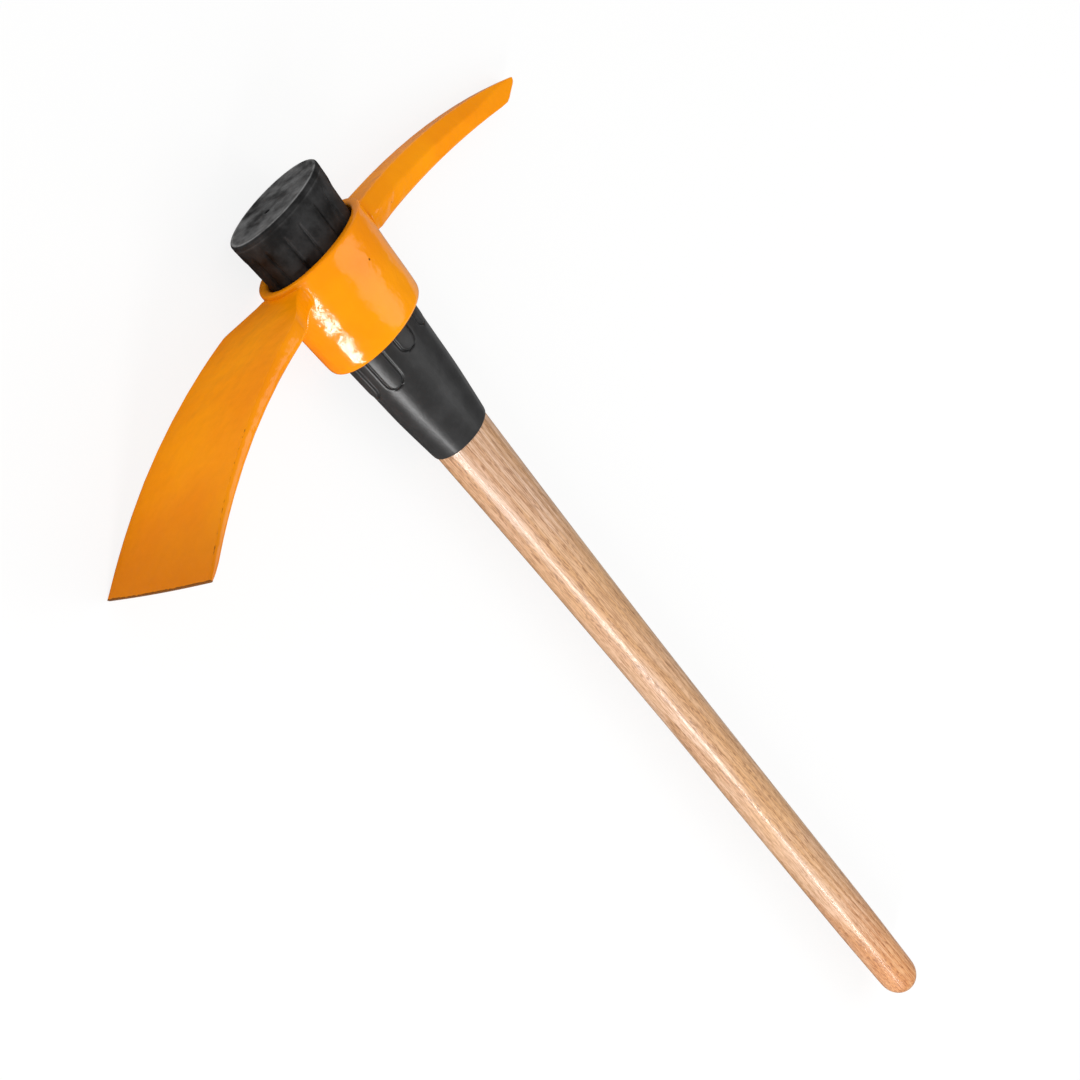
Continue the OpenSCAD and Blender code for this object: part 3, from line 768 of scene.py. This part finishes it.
def buildHead(material):
    s = headSet
    before, after = collarStations()
    widen = cageWiden(s["sides"])
    low, high = len(before), len(before) + s["armRows"]

    def place(n, column):
        if low <= n < high:
            return wallPoint(n - low, column, widen)
        x, half = before[n] if n < low else after[n - high]
        return ovalPoint(x, half, tau * column / s["sides"], widen)

    bm = bmesh.new()
    first, last = ovalTube(bm, s["sides"], high + len(after), place)
    bmesh.ops.bridge_loops(bm, edges=first + last)
    bm.verts.layers.float.new("wear")
    bm.verts.layers.float.new("ground")
    crease = bm.edges.layers.float.new("crease_edge")
    column = bm.verts.layers.int["column"]
    row = bm.verts.layers.int["row"]
    for v in bm.verts:
        v[row] -= low

    # each arm counts its columns from its own middle
    half = s["sides"] // 2
    wall = [f for f in bm.faces if all(0 <= v[row] < s["armRows"] for v in f.verts)]
    for arm, armPlace, way, middle in ((adzeSet, adzePlace, 1, 0), (pickSet, pickPlace, -1, half)):
        for v in {v for f in wall for v in f.verts}:
            v[column] = (v[column] - middle + half) % s["sides"] - half
        patch = [f for f in wall if all(
            v.co.y * way > 0 and abs(v[column]) <= s["armColumns"] for v in f.verts)]
        wall = [f for f in wall if f not in patch]
        creaseBorder(patch, crease, s["rootCrease"])
        tip = growArm(bm, patch, arm["stations"], armPlace)
        if arm is adzeSet:
            dressAdze(bm, tip, crease)
    dressPick(bm, crease)
    finishPiece(bm, "forgedHead", "head", "head", material, s["smooth"])


# Floor under the adze's lower corner and the pick's point, and level along the handle. Reflections see it
# darker, and darkest under the adze, so that the head's lower sides keep their depth.
floorSet = {
    "size": 9.0, "pickLow": -7.0, "gap": 0.4, "colour": "#F4F4F3", "glow": 0.85,
    "mirrored": (0.1, 0.35), "mirroredSpan": (0.06, -0.14),
}


def floorMaterial():
    s = floorSet
    material, tree = newMaterial("paleFloor")
    light = addNode(tree, "LightPath")
    share = addNode(tree, "Math", {0: light.outputs["Is Camera Ray"], 1: s["glow"]}, operation="MULTIPLY")
    across = addNode(tree, "SeparateXYZ", {"Vector": addNode(tree, "TexCoord").outputs["Object"]})
    mirrored = addNode(tree, "MapRange", {
        "Value": across.outputs["Y"], "From Min": s["mirroredSpan"][0], "From Max": s["mirroredSpan"][1],
        "To Min": s["mirrored"][0], "To Max": s["mirrored"][1]})
    tone = addNode(tree, "Mix", {0: light.outputs["Is Glossy Ray"], 6: hexColour(s["colour"]),
                                 7: mirrored.outputs["Result"]}, data_type="RGBA")
    matte = addNode(tree, "BsdfDiffuse", {"Color": tone.outputs[2]})
    glow = addNode(tree, "Emission", {"Color": grey(1.0), "Strength": 1.0})
    mixed = addNode(tree, "MixShader", {0: share.outputs[0], 1: matte.outputs["BSDF"],
                                        2: glow.outputs["Emission"]})
    addNode(tree, "OutputMaterial", {"Surface": mixed.outputs["Shader"]})
    return material


def buildFloor():
    s = floorSet
    adzeLow = headLow.z - s["gap"]
    slope = (s["pickLow"] - adzeLow) / (headHigh.y - headLow.y)
    lift = adzeLow + slope * headHigh.y
    bm = bmesh.new()
    bmesh.ops.create_grid(bm, x_segments=1, y_segments=1, size=s["size"])
    lean = Matrix.Translation((0, 0, lift * mm)) @ Matrix.Rotation(-atan(slope), 4, "X")
    bmesh.ops.transform(bm, matrix=lean, verts=bm.verts)
    floor = meshObject(bm, "floor", floorMaterial())


# Lamps: a tall soft box low on the adze's side, which the collar mirrors as a strip; a long one beside it
# that only reflections see, for the streak along the handle; a dim one overhead; and two that reflections
# don't see, to lift what faces up the handle and the pick's side. The pale room is dim in reflections.
lightSet = {
    "key": {"place": (-0.03, 1.53, 0.55), "aim": (0.8, 0.0, 0.0), "size": (0.22, 0.85), "power": 18.0},
    "side": {"place": (-1.1, 1.53, 0.55), "aim": (-1.1, 0.0, 0.0), "size": (1.65, 0.24), "power": 24.0,
             "matte": False},
    "top": {"place": (0.17, -0.63, 1.36), "aim": (0.7, 0.0, 0.0), "size": (0.75, 1.0), "power": 2.8},
    "fill": {"place": (2.4, 0.3, 0.25), "aim": (0.8, 0.0, 0.0), "size": (2.4, 0.5), "power": 6.5,
             "gloss": False},
    "back": {"place": (-0.8, -1.0, 1.2), "aim": (0.8, 0.0, 0.0), "size": (0.9, 0.9), "power": 8.0,
             "gloss": False},
}
roomSet = {"bright": 0.73, "mirrored": 0.04}


def aimAt(s):
    return (Vector(s["aim"]) - Vector(s["place"])).to_track_quat("-Z", "Y")


def buildLights():
    for name, s in lightSet.items():
        lamp = bpy.data.lights.new(name, "AREA")
        lamp.shape = "RECTANGLE"
        lamp.size, lamp.size_y = s["size"]
        lamp.energy = s["power"]
        thing = bpy.data.objects.new(name, lamp)
        thing.location = s["place"]
        thing.rotation_euler = aimAt(s).to_euler()
        thing.visible_diffuse = s.get("matte", True)
        thing.visible_glossy = s.get("gloss", True)
        bpy.context.scene.collection.objects.link(thing)


def buildRoom():
    s = roomSet
    world = bpy.data.worlds.new("paleRoom")
    bpy.context.scene.world = world
    world.use_nodes = True
    tree = world.node_tree
    tree.nodes.clear()
    light = addNode(tree, "LightPath")
    dim = addNode(tree, "MapRange", {"Value": light.outputs["Is Glossy Ray"], "To Min": s["bright"],
                                     "To Max": s["mirrored"]})
    level = addNode(tree, "Math", {0: dim.outputs["Result"], 1: light.outputs["Is Camera Ray"]},
                    operation="MAXIMUM")
    room = addNode(tree, "Background", {"Color": grey(1.0), "Strength": level.outputs[0]})
    addNode(tree, "OutputWorld", {"Surface": room.outputs["Background"]})


# Camera at the photograph's angle, fitted to the handle's edges and the two ovals
cameraSet = {
    "place": (1.1525, 0.6559, 0.7128), "aim": (0.5781, 0.0026, -0.0024), "roll": 80.09,
    "lens": 53.33, "sensor": 36.0,
}


def buildCamera():
    s = cameraSet
    lens = bpy.data.cameras.new("camera")
    lens.lens = s["lens"]
    lens.sensor_width = s["sensor"]
    lens.sensor_fit = "HORIZONTAL"
    camera = bpy.data.objects.new("camera", lens)
    camera.location = s["place"]
    camera.rotation_mode = "QUATERNION"
    camera.rotation_quaternion = aimAt(s) @ Quaternion((0, 0, 1), radians(s["roll"]))
    bpy.context.scene.collection.objects.link(camera)
    bpy.context.scene.camera = camera


buildCamera()
print("camera set")
buildHandle(ashMaterial())
buildBoot(polymerMaterial())
buildHead(enamelMaterial())
buildFloor()
buildLights()
buildRoom()
print("floor and lamps set")
bpy.context.scene.view_settings.view_transform = "Standard"
